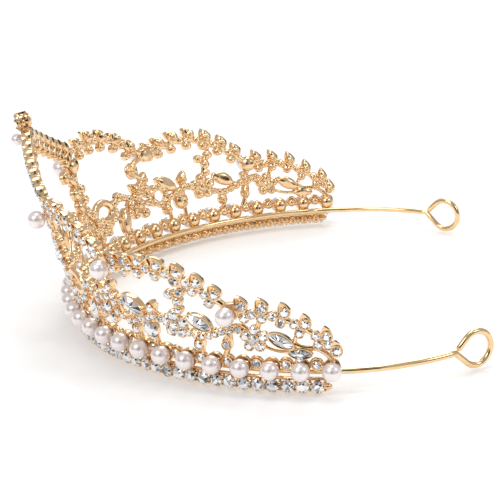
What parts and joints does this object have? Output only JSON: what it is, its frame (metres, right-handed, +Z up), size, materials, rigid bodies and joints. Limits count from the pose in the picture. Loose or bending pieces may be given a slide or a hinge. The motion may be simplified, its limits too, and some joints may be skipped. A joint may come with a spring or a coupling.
{
  "type": "tiara",
  "caption": "Open half-ring tiara with leafy gilt castings, a row of pearls over a crystal rail, and a spring wire headband with end loops.",
  "frame": {"origin": "centre of the bounding box's underside, on the surface the crystal rail stands on", "axes": "+Z up, -Y towards the front of the band, +X towards the wearer's left"},
  "size_m": [0.1566, 0.126, 0.0559],
  "materials": {
    "gold": "polished pale champagne gilt",
    "pearl": "imitation pearl, soft pink-white lustre",
    "crystal": "clear cut glass with a silver foil back"
  },
  "bodies": {
    "band": {"stone_rail": "gold", "pearl_rail": "gold", "centre_casting": "gold", "left_inner_casting": "gold", "right_inner_casting": "gold", "left_middle_casting": "gold", "right_middle_casting": "gold", "left_outer_casting": "gold", "right_outer_casting": "gold", "headband_wire": "gold", "rail_pearl_front": "pearl", "rail_pearl_left_01": "pearl", "rail_pearl_right_01": "pearl", "rail_pearl_left_02": "pearl", "rail_pearl_right_02": "pearl", "rail_pearl_left_03": "pearl", "rail_pearl_right_03": "pearl", "rail_pearl_left_04": "pearl", "rail_pearl_right_04": "pearl", "rail_pearl_left_05": "pearl", "rail_pearl_right_05": "pearl", "rail_pearl_left_06": "pearl", "rail_pearl_right_06": "pearl", "rail_pearl_left_07": "pearl", "rail_pearl_right_07": "pearl", "rail_pearl_left_08": "pearl", "rail_pearl_right_08": "pearl", "rail_pearl_left_09": "pearl", "rail_pearl_right_09": "pearl", "rail_pearl_left_10": "pearl", "rail_pearl_right_10": "pearl", "rail_pearl_left_11": "pearl", "rail_pearl_right_11": "pearl", "rail_pearl_left_12": "pearl", "rail_pearl_right_12": "pearl", "rail_pearl_left_13": "pearl", "rail_pearl_right_13": "pearl", "rail_pearl_left_14": "pearl", "rail_pearl_right_14": "pearl", "rail_pearl_left_15": "pearl", "rail_pearl_right_15": "pearl", "apex_pearl": "pearl", "left_gable_pearl": "pearl", "right_gable_pearl": "pearl", "left_inner_pearl": "pearl", "right_inner_pearl": "pearl", "left_middle_pearl": "pearl", "right_middle_pearl": "pearl", "apex_crystal": "crystal", "left_inner_marquise": "crystal", "right_inner_marquise": "crystal", "left_middle_marquise": "crystal", "right_middle_marquise": "crystal", "left_rear_marquise": "crystal", "right_rear_marquise": "crystal", "left_outer_marquise": "crystal", "right_outer_marquise": "crystal"},
    "left_arm": {"left_arm_wire": "gold"},
    "right_arm": {"right_arm_wire": "gold"}
  },
  "joints": [
    {"name": "left_arm_flex", "type": "hinge", "parent": "band", "child": "left_arm", "pos_m": [0.0707, 0.02623, 0.0049], "axis": [0, 0, -1], "range_deg": [-4, 8], "stiffness_Nm_per_rad": 0.3},
    {"name": "right_arm_flex", "type": "hinge", "parent": "band", "child": "right_arm", "pos_m": [-0.0707, 0.02623, 0.0049], "axis": [0, 0, 1], "range_deg": [-4, 8], "stiffness_Nm_per_rad": 0.3}
  ]
}
